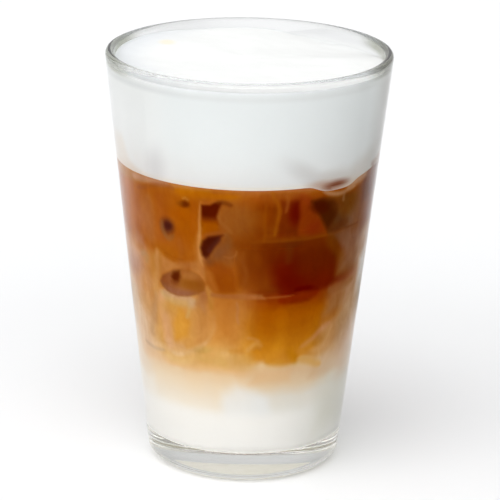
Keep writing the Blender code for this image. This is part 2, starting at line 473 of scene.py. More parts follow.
class Side:
    """The side of the drink at some points of a mesh, and the colours that it is painted.

    A dab is an oval, a streak a smooth line and a wash the inside of an outline. Each mixes a colour in at
    a strength from 0 to 1, by the mask of a blot, a stroke or a patch.
    """

    def __init__(self, points):
        self.bearing = bearings_of(points)
        self.height = points[:, 2]
        self.colours = np.zeros((len(points), 3))
        drift = np.array([self.drift(point) for point in points])
        self.drift_along, self.drift_up = drift[:, 0], drift[:, 1]
        self.loose_bearing = self.bearing + SWAY_DEGREES * self.drift_along
        self.loose_height = self.height + SWAY_UP * self.drift_up

    @staticmethod
    def drift(point):
        """How far the drink's swirls carry a place, in no unit."""
        place = Vector(point) / SWIRL
        broad = noise.noise_vector(place)
        fine = noise.noise_vector(place * 3.3)
        return (broad.x + 0.5 * fine.x, broad.z + 0.5 * fine.z)

    def paint(self, colour, mask):
        self.colours += mask[:, None] * (np.array(colour, float) - self.colours)

    def dab(self, colour, strength, *oval, **edge):
        self.paint(colour, strength * self.blot(*oval, **edge))

    def streak(self, colour, strength, *line, **ends):
        self.paint(colour, strength * self.stroke(*line, **ends))

    def wash(self, colour, strength, *outline):
        self.paint(colour, strength * self.patch(*outline))

    def spread(self, stops, mask):
        """A run of colours by height."""
        heights = [height for height, colour in stops]
        channels = [[colour[k] for height, colour in stops] for k in range(3)]
        run = np.stack([np.interp(self.loose_height, heights, channel) for channel in channels], axis=1)
        self.colours += mask[:, None] * (run - self.colours)

    def unrolled(self, places, margin, looseness=0.2):
        """The wall laid flat in millimetres: which points lie near some places, and both sets there."""
        first = places[0][0]
        flat = np.array([(half_turn(bearing - first) * WALL_ARC, height) for bearing, height in places])
        along = half_turn(self.bearing - first) * WALL_ARC + looseness * self.drift_along
        up = self.height + looseness * self.drift_up
        low, high = flat.min(axis=0) - margin, flat.max(axis=0) + margin
        near = (along > low[0]) & (along < high[0]) & (up > low[1]) & (up < high[1])
        return near, flat, along[near], up[near]

    def blot(self, place, wide, high, turn=0.0, soft=0.9):
        """An oval of half-sizes wide and high, turned anticlockwise."""
        near, flat, along, up = self.unrolled([place], (1 + soft) * max(wide, high))
        along, up = along - flat[0][0], up - flat[0][1]
        c, s = math.cos(math.radians(turn)), math.sin(math.radians(turn))
        away = np.hypot((along * c + up * s) / wide, (up * c - along * s) / high)
        return filled(near, 1 - ease(away, 1 - soft, 1 + soft))

    def stroke(self, places, width, soft=0.9, tip=0.3):
        """A smooth line that fades out over its width and thins to a share of it at its tips."""
        near, line, along, up = self.unrolled(places, width)
        line = curve_through(line)
        strongest = np.zeros(len(along))
        for i, (start, end) in enumerate(zip(line, line[1:])):
            away, share = off_line(along, up, start, end)
            middle = 1 - abs(2 * (i + share) / (len(line) - 1) - 1)
            reach = width * (tip + (1 - tip) * np.minimum(1, 3 * middle))
            strength = 1 - ease(away / reach, (1 - soft) / 2, 1)
            strongest = np.maximum(strongest, strength * np.minimum(1, tip + 4 * middle))
        return filled(near, strongest)

    def patch(self, places, soft):
        """The inside of a closed outline, soft for so many millimetres. A softer edge sways more."""
        near, outline, along, up = self.unrolled(places, soft / 2, 0.1 + 0.25 * soft)
        nearest = np.full(len(along), np.inf)
        inside = np.zeros(len(along), bool)
        for start, end in zip(outline, np.roll(outline, -1, axis=0)):
            nearest = np.minimum(nearest, off_line(along, up, start, end)[0])
            run = end - start
            crosses = (up > start[1]) != (up > end[1])
            inside ^= crosses & (along - start[0] < run[0] * (up - start[1]) / (run[1] if run[1] else 1))
        return filled(near, ease(np.where(inside, nearest, -nearest), -soft / 2, soft / 2))

    def stored(self):
        """Linear colours with alpha, as a colour attribute holds them."""
        shares = np.clip(self.colours, 0, 255) / 255
        shares = np.where(shares <= 0.04045, shares / 12.92, ((shares + 0.055) / 1.055) ** 2.4)
        return np.hstack([shares, np.ones((len(shares), 1))]).astype(np.float32)


def paint_layers(side):
    """The run from milk to coffee: lighter and more orange at the left, darker and redder at the right."""
    side.spread(LEFT_RUN, np.ones(len(side.height)))
    start = 4 * ease(side.height, 46, 60) * (1 - ease(side.height, 64, 68)) - 9
    right = ease(side.loose_bearing - start, 0, 18) * (1 - ease(side.loose_bearing, 110, 150))
    side.spread(RIGHT_RUN, right)
    side.paint((206, 146, 96), ease(side.height, 92.4, 94.2) * 0.5)
    side.wash((248, 250, 252), 0.75, [(-13, 18), (-12, 29), (-5, 33), (6, 31), (14, 29), (16, 18)], 5)
    # Painted shade: the milk greyer round the right.
    side.wash((228, 226, 214), 0.7, [(48, 14), (46, 38), (60, 40), (96, 36), (112, 26), (126, 14)], 10)


def paint_left(side):
    """The paler coffee at the far left, and the upper cube with the round holes in it."""
    side.wash((190, 108, 34), 0.85, [(-88, 73), (-88, 92), (-56, 92), (-50, 86), (-49, 72)], 9)
    side.dab((198, 126, 80), 0.5, (-57, 81), 4.5, 4.0, 30)
    side.wash((208, 132, 70), 0.6, [(-73, 76), (-71, 92), (-64, 91), (-63, 74)], 4)
    side.wash((202, 138, 96), 0.7, [(-66, 72), (-64, 76), (-58, 75), (-57, 71)], 3)
    side.streak((190, 120, 66), 0.5, [(-51, 88), (-51.6, 82), (-51, 74)], 4.0, 0.95, 0.6)
    side.wash((194, 134, 74), 0.75, [(-86, 91.6), (-64, 91), (-56, 91.8), (-48, 92.8), (-42, 94.6),
                                     (-86, 96)], 2)
    side.streak((208, 156, 124), 0.8, [(-62, 93.0), (-50, 93.6), (-38, 94.0)], 2.0, tip=0.6)
    side.streak((166, 92, 44), 0.55, [(-60, 89.4), (-53, 90.9), (-45, 92.6), (-38, 93.2),
                                      (-34, 92.6)], 1.4)
    side.streak((196, 110, 2), 0.8, [(-33, 92), (-26, 92.3), (-16, 92.6), (-4, 92.8)], 2.4, tip=0.6)
    side.streak((188, 102, 34), 0.6, [(-16, 93.6), (-4, 93.7), (8, 93.4), (28, 93.0)], 1.3, tip=0.6)
    side.streak((166, 84, 20), 0.6, [(6, 92.8), (14, 92.8), (24, 92.6)], 2.0, tip=0.6)
    side.wash((176, 89, 2), 0.8, [(-36, 80), (-34, 90), (-22, 91), (-22, 76), (-27, 74)], 6)
    side.dab((180, 88, 0), 0.6, (-31, 85), 5.0, 1.8)
    side.dab((186, 102, 12), 0.7, (-36, 72), 7.5, 2.2, -8, soft=0.8)
    side.wash((178, 92, 44), 0.35, [(-47, 76), (-46, 90), (-42, 90), (-41, 76)], 5)
    side.dab((96, 44, 26), 1.0, (-39.6, 80.5), 2.3, 2.2, 70, soft=0.75)
    side.dab((80, 30, 20), 1.0, (-39.2, 80.8), 1.2, 1.1, soft=0.8)
    side.streak((158, 106, 58), 0.55, [(-42.6, 82.4), (-42.8, 80), (-41, 77.6), (-38.6, 76.8),
                                       (-35.6, 78.4)], 1.5, 0.95)
    side.dab((112, 44, 2), 1.0, (-29.0, 88.6), 1.55, 1.05, 8, soft=0.6)
    side.streak((206, 146, 66), 0.5, [(-30.2, 90.2), (-28.6, 90.6), (-27, 90.0)], 0.8)
    side.dab((150, 80, 10), 0.6, (-31.6, 88.6), 1.0, 0.7)
    side.streak((186, 108, 46), 0.35, [(-33, 78), (-32.4, 73), (-33.2, 69)], 1.6)
    side.wash((208, 140, 72), 0.85, [(-48, 62.6), (-47, 64), (-45, 70.6), (-34, 69.2), (-22.5, 71.6),
                                     (-21.4, 66), (-28, 68), (-38, 66.6)], 2.5)
    side.dab((176, 102, 40), 0.5, (-28.6, 69.0), 2.6, 1.3, 6)
    side.streak((178, 96, 14), 0.5, [(-45.5, 72.2), (-43, 72.6), (-40.6, 71.2), (-36, 69.8)], 1.3)
    side.dab((170, 88, 22), 0.35, (-24.5, 71.8), 2.4, 1.3, 10, soft=0.8)


def paint_edge_line(side):
    """The bright line down the right of the upper cube, which widens as it runs down into the lower one.

    It is a painted highlight.
    """
    side.streak((214, 140, 62), 0.7, [(-22.3, 80), (-22.9, 76), (-22.6, 73), (-21.6, 70.4), (-20, 67.4),
                                      (-18.4, 63.6), (-17.4, 61)], 2.4, 0.95, 0.6)
    side.wash((210, 142, 84), 0.75, [(-21.6, 66), (-23, 73.6), (-20.4, 74), (-18.2, 70),
                                     (-18.2, 65)], 2.4)
    side.streak((224, 164, 88), 0.65, [(-20.9, 90.6), (-21.3, 86), (-21.9, 80), (-22.7, 76),
                                       (-22.3, 72.6), (-20.4, 69)], 0.9, 0.85)
    side.streak((222, 170, 92), 0.7, [(-20, 68), (-18.2, 63.4), (-17, 60.4), (-16.4, 58.6)], 1.6, tip=0.7)
    side.streak((210, 128, 40), 0.6, [(-20.9, 90.2), (-18.5, 89.8), (-16.5, 90.3), (-13, 91.1)], 0.7)


def paint_lower_cube(side):
    """The barrel-shaped cube low at the left, with its oval top face."""
    side.wash((222, 160, 88), 0.8, [(-72, 46), (-66, 62), (-52, 70), (-47, 71), (-49, 60), (-54, 50),
                                    (-60, 42)], 6)
    side.wash((236, 188, 150), 0.85, [(-98, 50), (-90, 64), (-80, 73), (-70, 73), (-58, 70), (-56, 60),
                                      (-62, 55)], 9)
    side.wash((242, 208, 170), 0.9, [(-112, 36), (-98, 50), (-84, 60), (-72, 58), (-62, 54), (-56, 46),
                                     (-50, 37)], 11)
    side.wash((252, 222, 190), 0.7, [(-98, 46), (-86, 60), (-72, 58), (-62, 54), (-56, 49)], 9)
    side.wash((246, 228, 206), 0.7, [(-100, 32), (-100, 46), (-78, 45), (-70, 39), (-62, 34),
                                     (-62, 30)], 7)
    side.wash((253, 247, 238), 0.8, [(-100, 20), (-100, 30), (-60, 29), (-60, 20)], 6)
    side.paint((255, 253, 250), (1 - ease(side.height, 20, 25)) * (1 - ease(side.bearing, 20, 56)))
    side.streak((222, 156, 86), 0.6, [(-58, 67), (-60, 63), (-61, 58)], 4.0, 0.95, 0.6)
    side.dab((226, 164, 92), 0.5, (-60, 53.5), 4.5, 4.0, 20)
    side.streak((206, 148, 90), 0.6, [(-53, 53.6), (-52.6, 50.6), (-53, 48)], 2.6, 0.95, 0.6)
    side.dab((204, 154, 126), 0.75, (-70, 64.2), 6.0, 3.2, 16, soft=0.8)
    side.streak((198, 158, 112), 0.55, [(-61, 68.4), (-57.5, 69.2), (-55.4, 68.2),
                                        (-57, 66.4)], 2.0, 0.95)
    side.dab((208, 140, 60), 0.6, (-52, 66.4), 2.4, 3.2)
    side.streak((224, 170, 102), 0.55, [(-47.6, 72), (-48.2, 68), (-48.6, 64.6), (-50.6, 60),
                                        (-51.6, 57.5)], 2.2, 0.95, 0.6)
    side.streak((210, 164, 116), 0.6, [(-50.6, 57.6), (-52.2, 54), (-54.4, 50.6), (-56.6, 46.5),
                                       (-57.4, 44)], 3.0, 1.0, 0.6)
    side.wash((230, 172, 92), 0.8, [(-48, 60), (-51, 52), (-52, 44), (-44, 42), (-30, 42.4), (-22, 45),
                                    (-17.6, 50), (-17, 56), (-20, 62)], 4)
    side.streak((232, 178, 128), 0.85, [(-46.6, 58), (-46.2, 53), (-44.8, 48),
                                        (-43.2, 42)], 4.2, 0.95, 0.7)
    side.wash((231, 165, 62), 0.85, [(-40.6, 50), (-36.4, 55.4), (-33, 55), (-29.4, 51), (-31, 46.6),
                                     (-39.6, 44.2)], 2.6)
    side.dab((222, 166, 78), 0.6, (-41.5, 54.8), 4.0, 2.0, 14)
    side.wash((214, 152, 82), 0.7, [(-27, 44.6), (-27, 56), (-19, 58), (-16.4, 52), (-19, 46)], 4)
    side.streak((220, 186, 130), 0.6, [(-46.6, 58.8), (-42.6, 57.8), (-36, 57.2), (-30, 57.5),
                                       (-25.4, 58.6)], 2.4, 0.95, 0.5)
    side.streak((226, 186, 116), 0.6, [(-29.6, 57.2), (-29.6, 54.6), (-31.4, 52.4)], 1.1, tip=0.6)
    side.dab((214, 184, 160), 0.5, (-27.6, 57.4), 1.3, 1.6)
    side.streak((214, 176, 140), 0.6, [(-45, 59.4), (-38, 58.6), (-28, 58.9)], 1.6, tip=0.6)
    side.wash((190, 130, 84), 0.6, [(-25.4, 57.2), (-23, 61.6), (-20, 63.4), (-18.6, 59),
                                    (-20.6, 55)], 2.6)
    side.dab((176, 106, 60), 0.5, (-20.4, 60.6), 1.8, 1.6)
    side.streak((208, 158, 66), 0.7, [(-18.4, 62.4), (-17.6, 59.4), (-16.8, 56.4)], 1.1, tip=0.6)
    side.streak((222, 170, 108), 0.45, [(-15.8, 54.6), (-15.8, 51), (-17.6, 47.8),
                                        (-20.6, 45.2)], 1.3, tip=0.6)
    side.streak((232, 186, 138), 0.6, [(-46, 43.6), (-40, 42.4), (-34, 42.4)], 2.6, 0.95, 0.6)
    side.streak((238, 200, 150), 0.55, [(-20.4, 45.6), (-23.6, 43.8), (-27.4, 42.2), (-33, 41.0),
                                        (-40, 40.2), (-47, 40.8), (-58, 41.6)], 1.9, 1.0, 0.5)
    side.streak((240, 206, 158), 0.5, [(-33.6, 40.4), (-37.6, 39.8), (-42, 40.0)], 1.3, 0.95)
    side.dab((204, 168, 88), 0.5, (-22.4, 42.8), 3.0, 1.1, 14)
    side.streak((212, 174, 136), 0.6, [(-67, 40.2), (-60, 39.5), (-54, 39.4), (-47, 39.9)], 1.1, 0.95)
    side.streak((242, 206, 140), 0.45, [(-47, 38.6), (-40, 37.8), (-34, 37.9), (-28, 39.6),
                                        (-22, 40.8)], 2.2, 1.0, 0.4)
    side.streak((228, 182, 104), 0.6, [(-26, 40.2), (-16, 39.6), (-8, 38.6)], 2.6, 0.95, 0.4)


def paint_top_face(side):
    """The oval face in the lower cube: browner in front, open at the back, with a dark knot in it."""
    face = side.patch([(-46.8, 62.2), (-44.6, 64.0), (-40.6, 65.6), (-36.6, 66.9), (-32, 67.8),
                       (-27, 67.8), (-22.6, 66.5), (-20.2, 64.2), (-20.6, 61.8), (-24, 60.4), (-29, 59.5),
                       (-36, 59.1), (-42, 59.8), (-45.6, 61.0)], 1.2)
    side.paint((174, 106, 44), face)
    side.paint((160, 92, 24), face * side.blot((-26.4, 63.4), 4.2, 1.7))
    side.paint((190, 120, 54), face * side.blot((-28.6, 66.0), 3.2, 1.2, -4) * 0.65)
    side.paint((160, 94, 50), face * ease(-side.bearing, 32, 42))
    side.paint((166, 106, 72), face * (1 - ease(side.height, 60.2, 62.4)) * ease(-side.bearing, 21, 30))
    back_edge = side.stroke([(-45.4, 63.4), (-41.4, 65.6), (-37.4, 67.2)], 1.2)
    side.paint((148, 82, 40), face * back_edge * 0.6)
    side.wash((98, 34, 2), 0.95, [(-39, 64.6), (-37, 66.2), (-33.6, 67), (-33.2, 65.2), (-34.6, 63.5),
                                  (-37.2, 63.3)], 1.8)
    side.streak((134, 66, 26), 0.5, [(-39.6, 63.4), (-37.4, 63.0), (-35.4, 63.2)], 1.3)


def paint_front(side):
    """Between the cubes: a dark gap with an arched top, a hooked shadow, and the pale front cube."""
    side.wash((206, 128, 46), 0.75, [(-15.6, 46), (-16, 60), (-11, 61.6), (-4, 61), (-4, 46)], 9)
    side.wash((170, 84, 14), 0.85, [(-20, 64), (-20.4, 71), (-14, 72), (-6, 70), (-4, 62.6),
                                    (-14, 62.4)], 3)
    side.dab((170, 86, 8), 0.9, (-9.4, 64.6), 4.0, 2.6, 12)
    side.streak((196, 118, 44), 0.7, [(-18.6, 68.4), (-16.4, 64.8), (-14.4, 62.6)], 2.0, 0.95)
    side.wash((172, 92, 32), 0.55, [(-19.6, 79), (-20, 91), (-10, 91.6), (0, 90), (1, 79.6)], 3)
    side.wash((146, 70, 8), 0.5, [(-10, 76), (2, 76), (12, 79.4), (12, 84), (2, 83), (-8, 82.4)], 2)
    side.dab((166, 98, 34), 0.75, (-5, 85.4), 6.2, 4.8, soft=0.6)
    side.wash((158, 92, 40), 0.8, [(-17, 73), (-12, 79.2), (-6, 78.2), (-4, 73), (-8, 70.6),
                                   (-14, 71)], 4)
    side.dab((148, 94, 54), 0.6, (-13, 74.6), 3.0, 1.7, 40, soft=0.8)
    side.streak((152, 98, 50), 0.5, [(-9.6, 80.6), (-8, 78.6), (-8.4, 76.6)], 2.0, 0.95)
    side.streak((176, 108, 46), 0.55, [(-12.4, 88.8), (-12.8, 86.6), (-11.6, 84.4), (-8.4, 82.4),
                                       (-6, 80.6)], 1.1)
    gap = side.patch([(-20.4, 82.4), (-20.4, 89.2), (-18.2, 89.4), (-16.2, 89.5), (-14.2, 90.4),
                      (-11, 90.6), (-12.2, 88.4), (-13.2, 86), (-12.6, 83.4)], 1.2)
    side.paint((98, 26, 0), gap * ease(side.height, 83, 86.6))
    side.paint((140, 58, 0), gap * (1 - ease(side.height, 83.4, 86)))
    side.wash((178, 92, 0), 1.0, [(-20.4, 80), (-20.4, 83.8), (-13, 84), (-12, 81.4)], 1.8)
    side.streak((118, 52, 8), 0.6, [(-13.6, 90.4), (-10, 90.5), (-6.6, 89.8)], 1.3)
    side.streak((176, 100, 40), 0.6, [(-19.4, 79.7), (-15, 80.4), (-11, 81.2)], 1.1)
    side.wash((84, 26, 6), 1.0, [(-10.6, 80.2), (-14, 79.6), (-17.6, 79.2), (-20.4, 77.8), (-22, 75.4),
                                 (-21.4, 73.2), (-19.4, 72.0), (-17.8, 72.8), (-16.2, 75.0),
                                 (-13.4, 77.6)], 1.5)
    side.streak((92, 42, 34), 0.7, [(-18.4, 74.2), (-15.6, 76.8), (-12, 79.2)], 1.4)
    side.dab((126, 72, 40), 0.6, (-17.8, 71.6), 1.5, 1.3, -30)
    side.streak((184, 112, 52), 0.6, [(-11, 73.6), (-7.4, 73.2), (-4.6, 74.4), (-4.6, 75.8)], 0.6)
    side.streak((178, 102, 46), 0.35, [(-1, 76), (-1.4, 72), (0, 69), (-1, 64)], 1.5, 0.95)
    side.streak((206, 142, 86), 0.6, [(-4.2, 59.6), (-3.6, 57), (-3.9, 54.4), (-3, 52)], 0.9)
    side.wash((188, 120, 64), 0.8, [(-17.4, 60.4), (-17, 61.7), (8, 61.8), (10, 60.2)], 1.1)
    side.streak((198, 120, 56), 0.5, [(-10, 60.9), (4, 60.8), (14, 60.7), (25.4, 61.0)], 0.65)
    side.streak((226, 178, 100), 0.5, [(-14, 41.6), (-8, 41.2), (-2, 40.4), (4, 40.6)], 4.4, 1.0, 0.5)
    side.streak((238, 196, 134), 0.35, [(-12, 42.8), (-9, 41.4), (-7, 39.4), (-9, 37.6)], 1.8, 1.0)
    side.streak((214, 144, 52), 0.5, [(-8, 43.4), (-4, 43.4), (-1, 44)], 1.6, 0.95)
    side.streak((226, 178, 116), 0.42, [(1.4, 43.6), (3.4, 44.8), (6, 46.0), (9.4, 45.0)], 1.7, 1.0)
    side.streak((204, 134, 50), 0.5, [(4.4, 44.0), (6.6, 44.6), (9, 43.8)], 0.9)
    side.streak((214, 158, 96), 0.4, [(1, 47.8), (4.6, 47.6), (8, 46.6)], 1.0)


def paint_drips(side):
    """Pale drips that run down the inside of the wall from the foam."""
    side.streak((184, 104, 14), 0.5, [(11.2, 94), (12, 92), (14, 90.2), (14.8, 88), (14.2, 85),
                                      (13.4, 82), (13, 80.4)], 1.1, 0.95, 0.7)
    side.streak((178, 98, 34), 0.5, [(16.4, 93.6), (17.6, 92.6), (18.4, 91.4), (18.2, 89.4),
                                     (17.6, 87.4)], 1.0, 0.95, 0.7)
    side.streak((166, 84, 8), 0.5, [(8.6, 90), (8.2, 86), (8.6, 81), (8.2, 78.6)], 1.0, 0.95, 0.7)
    side.streak((168, 84, 14), 0.35, [(1.4, 92), (1.8, 90), (3, 88.4)], 1.2, 0.95)


def paint_right(side):
    """The tilted cube at the right with its lit face and shadow, and the coffee under and beside it.

    The pale band down the right edge is painted light, for light that comes through the drink there.
    """
    side.dab((160, 74, 2), 0.5, (5, 85.4), 3.4, 3.6)
    side.wash((126, 44, 4), 0.85, [(14.6, 79.6), (15.4, 91.4), (24, 91), (25, 79.6)], 2.4)
    side.dab((106, 12, 0), 0.9, (22.4, 87.0), 1.9, 3.6, 2, soft=0.8)
    side.wash((156, 60, 6), 0.85, [(24.6, 79.6), (24.2, 92), (28.6, 91.6), (31, 88), (36, 83.4),
                                   (40.6, 79.4)], 2)
    side.dab((146, 46, 10), 0.6, (32.4, 81.6), 2.4, 2.0, 30)
    side.streak((166, 66, 22), 0.5, [(24, 92.6), (27, 91), (29, 89.6)], 1.8, 0.95)
    side.streak((176, 96, 12), 0.3, [(33, 93), (30, 92.4), (36, 91.4)], 1.4, 0.95)
    side.wash((88, 36, 2), 1.0, [(29.6, 90.4), (36, 90.4), (42, 89.8), (45.4, 87.4), (47, 84.6),
                                 (50, 81.6), (54, 79.4), (41.4, 79.2), (36.4, 83.8), (33, 87.6)], 1.8)
    side.dab((82, 20, 0), 0.85, (35, 87.7), 3.0, 1.7, -20, soft=0.8)
    side.wash((118, 74, 38), 0.75, [(44.6, 83.6), (47, 86), (54, 83.6), (60, 80), (46, 79.4),
                                    (42, 80)], 3)
    side.wash((138, 86, 26), 0.8, [(47, 85), (47, 90), (62, 92), (74, 92), (74, 80), (58, 80),
                                   (52, 83.4)], 5)
    side.dab((124, 72, 26), 0.6, (47.6, 88), 2.6, 2.4)
    side.dab((136, 76, 24), 0.6, (44, 90.2), 3.0, 1.0)
    side.streak((154, 78, 12), 0.5, [(41, 90.8), (44, 90.6), (47.6, 89.8)], 1.3)
    side.streak((212, 168, 128), 0.6, [(35, 92.6), (41, 91.4), (46, 90.9), (50.6, 91.4), (57, 92)], 1.3)
    side.streak((190, 140, 100), 0.5, [(49, 91.4), (48.6, 89.4), (48.8, 88.2)], 1.0)
    side.wash((138, 88, 56), 0.75, [(42.4, 78.8), (46, 76.4), (52, 73.6), (60, 71), (74, 70), (74, 79.4),
                                    (56, 79.2)], 3)
    side.dab((156, 118, 102), 0.8, (61.6, 81), 4.4, 4.2)
    side.dab((136, 80, 42), 0.7, (52.6, 77), 3.0, 2.2)
    side.streak((112, 52, 12), 0.5, [(42, 80.4), (48, 80.6), (53, 81.2)], 2.2, 0.95)
    side.streak((140, 74, 4), 0.7, [(42, 77.4), (45, 75), (49, 72.2), (54, 69.4)], 3.0, 0.95, 0.5)
    side.wash((150, 88, 16), 0.75, [(50, 63.6), (50, 70), (58, 72), (76, 70), (76, 63.4)], 6)
    side.wash((172, 120, 86), 0.85, [(54, 66), (54, 78), (66, 80), (104, 80), (96, 70), (92, 64),
                                     (62, 64)], 8)
    # Painted light: a pale band down the right edge.
    side.wash((226, 188, 150), 0.8, [(69, 60), (68, 72), (73, 79), (80, 80), (88, 70), (92, 60)], 6)
    side.wash((154, 84, 22), 0.8, [(60, 78), (58, 90), (98, 90), (98, 77)], 6)
    side.wash((114, 54, 12), 0.6, [(64, 86), (62, 96), (98, 96), (98, 88)], 4)
    side.wash((210, 168, 134), 0.8, [(50, 92.0), (60, 92.4), (66, 93.6), (66, 97), (50, 96)], 2)
    side.wash((130, 70, 26), 0.8, [(70, 92), (70, 94), (74, 97), (92, 98), (92, 92)], 2)
    side.streak((162, 88, 14), 0.45, [(-6, 78.3), (4, 78.5), (16, 78.5), (28, 78.4),
                                      (41, 78.6)], 0.9, 0.95, 0.5)
    side.streak((124, 60, 20), 0.4, [(43, 79.2), (52, 79.2), (64, 79.4)], 0.7, tip=0.5)
    side.wash((150, 74, 8), 0.6, [(-4, 64), (-5, 77.6), (6, 77.4), (10, 70), (14, 66), (14, 62.4),
                                  (4, 62)], 5)
    side.dab((152, 76, 12), 0.6, (11, 63.6), 4.0, 3.0)
    side.dab((116, 14, 0), 0.7, (19.6, 68.6), 3.4, 4.6, -16)
    side.dab((114, 12, 0), 0.6, (22, 65.0), 4.2, 1.9)
    side.streak((128, 64, 14), 0.45, [(20.4, 76.6), (20.8, 74), (20.2, 71.4)], 2.2, 0.95)
    side.dab((104, 46, 14), 0.4, (22, 77.2), 3.0, 1.0)
    side.streak((106, 2, 0), 0.9, [(24.6, 62.7), (30, 62.8), (36.6, 62.8)], 1.2)
    side.streak((122, 28, 0), 0.6, [(34, 63.4), (42, 63.2), (52, 62.8)], 2.4, 0.95)
    side.dab((112, 36, 2), 0.35, (35, 70.6), 9.5, 2.6, -8)
    side.streak((142, 38, 0), 0.8, [(17, 59.6), (24, 59.4), (30, 59.6), (38, 60.6)], 2.2, 0.95, 0.5)
    side.wash((156, 74, 6), 0.6, [(40, 58), (40, 62), (52, 62), (48, 57)], 3)
    side.wash((194, 124, 62), 0.5, [(40, 46), (42, 53), (56, 53), (56, 46)], 4)
    side.wash((183, 126, 76), 0.85, [(44, 52), (47, 61.8), (62, 61.8), (76, 61.6), (76, 52)], 6)
    side.wash((214, 166, 122), 0.8, [(60, 50), (58, 60), (66, 63), (88, 64), (94, 56), (98, 46)], 8)
    # Painted light: the palest part of the band down the right edge.
    side.wash((255, 248, 236), 0.95, [(73, 44), (71, 56), (73, 66), (80, 69), (87, 60), (92, 50),
                                      (96, 42)], 5)
    side.streak((170, 108, 58), 0.6, [(46, 60.4), (56, 60.6), (66, 61)], 2.4, 0.95, 0.5)
    side.wash((214, 164, 112), 0.8, [(40, 40), (44, 48), (54, 50), (64, 54), (84, 54), (84, 38),
                                     (48, 38)], 6)
    side.dab((206, 166, 108), 0.5, (60.6, 46.6), 2.6, 4.0)
    side.dab((236, 196, 146), 0.6, (33.6, 39.3), 3.2, 0.9)
    side.dab((200, 142, 70), 0.55, (43, 45), 3.2, 1.3, 16)
    side.dab((224, 172, 110), 0.6, (42, 41.8), 4.4, 1.3, 10)
    side.streak((216, 156, 106), 0.6, [(30, 43.4), (36, 45), (40.4, 46.8), (44.6, 48.2),
                                       (50.4, 49.6)], 1.8, 0.95)
    side.streak((222, 156, 62), 0.5, [(29.6, 41.4), (33, 43.4), (37, 44.4)], 2.0, 0.95)
    side.streak((222, 152, 44), 0.85, [(12, 40.2), (20, 39.6), (26, 39.8)], 2.6, 0.95, 0.7)
    side.wash((240, 198, 146), 0.5, [(2, 33), (6, 37), (26, 37), (26, 33)], 3)
    side.streak((211, 138, 10), 0.7, [(24, 43), (25.6, 41.8), (27.6, 40.6), (28, 39)], 2.4, 1.0)
    side.dab((224, 150, 36), 0.5, (13, 42.2), 5.2, 1.6, -4)
    side.wash((226, 186, 140), 0.6, [(38, 33), (40, 37.4), (56, 42), (70, 42), (68, 33)], 4)
    side.streak((230, 176, 90), 0.7, [(30, 39.8), (36, 38.9), (41, 37.6), (45.4, 36.6)], 2.2, 0.95, 0.5)
    side.wash((228, 190, 150), 0.8, [(62, 34), (58, 44), (60, 52), (74, 58), (90, 58), (98, 46),
                                     (106, 34)], 10)
    side.dab((200, 150, 94), 0.4, (64, 43.4), 5.4, 5.0)
    side.wash((222, 190, 156), 0.6, [(62, 30), (62, 40), (74, 46), (92, 44), (102, 36), (112, 26)], 10)


def paint_cube(side, bearing, height, wide, high, tone):
    """A cube that the photograph doesn't show: a lighter body, a pale outline, and a dark upper face.

    The pale outline is a painted highlight, and a dark dab low at its right is a painted shadow.
    """
    reach = wide / 2 / WALL_ARC
    low, top = height - high / 2, height + high / 2
    left, right = bearing - reach, bearing + reach
    side.wash(tone, 0.6, [(left, low + 2), (bearing - reach * 0.9, top - 4),
                          (bearing + reach * 0.9, top - 4), (right, low + 2), (bearing, low)], 4)
    # Painted highlight: the pale outline.
    side.streak((214, 150, 78), 0.45, [(right, top - 4), (bearing + reach * 1.1, height),
                                       (bearing + reach * 1.02, low + 4)], 1.6, 0.95, 0.5)
    side.streak((206, 144, 76), 0.3, [(left, low + 7), (bearing - reach * 0.8, low + 2.5),
                                      (bearing - reach * 0.2, low + 0.6)], 2.2, 1.0, 0.4)
    # Painted shadow, low at the cube's right.
    side.dab((120, 58, 14), 0.35, (bearing + reach * 0.5, low + 4), wide * 0.3, 2.6, 12)
    side.dab((148, 84, 40), 0.8, (bearing, top - 4), wide * 0.42, 3.4, 4, soft=0.2)
    side.dab((92, 42, 14), 1.0, (bearing - reach * 0.2, top - 3.4), 2.0, 1.1, 20, soft=0.5)


def paint_back(side):
    """What the photograph doesn't show: three cubes, plumes where the milk rises, and a few dark holes."""
    side.wash((150, 62, 6), 0.5, [(88, 63), (88, 92), (178, 92), (178, 63)], 12)
    for cube in BACK_CUBES:
        paint_cube(side, *cube)
    side.dab((200, 117, 10), 0.6, (105, 54), 12, 5, -8)
    side.dab((172, 78, 5), 0.5, (-138, 56), 10, 4, 10)
    for foot, head, sway in BACK_PLUMES:
        side.streak((226, 172, 104), 0.35, [(foot, BACK_PLUME_FOOT), (foot + sway, 46),
                                            (foot - sway * 0.4, 56), (foot + sway * 0.6, head)], 4.0)
    side.dab((96, 40, 10), 1.0, (102, 86), 2.0, 1.4, 15, soft=0.6)
    side.wash((88, 36, 12), 0.85, [(-98, 88.5), (-91, 89.4), (-90, 84), (-97, 82.5)], 1.2)
    side.dab((96, 44, 14), 0.9, (-150, 78), 2.6, 1.3, -25, soft=0.6)


def paint_drink(side):
    paint_layers(side)
    paint_back(side)
    paint_left(side)
    paint_lower_cube(side)
    paint_edge_line(side)
    paint_top_face(side)
    paint_right(side)
    paint_front(side)
    paint_drips(side)


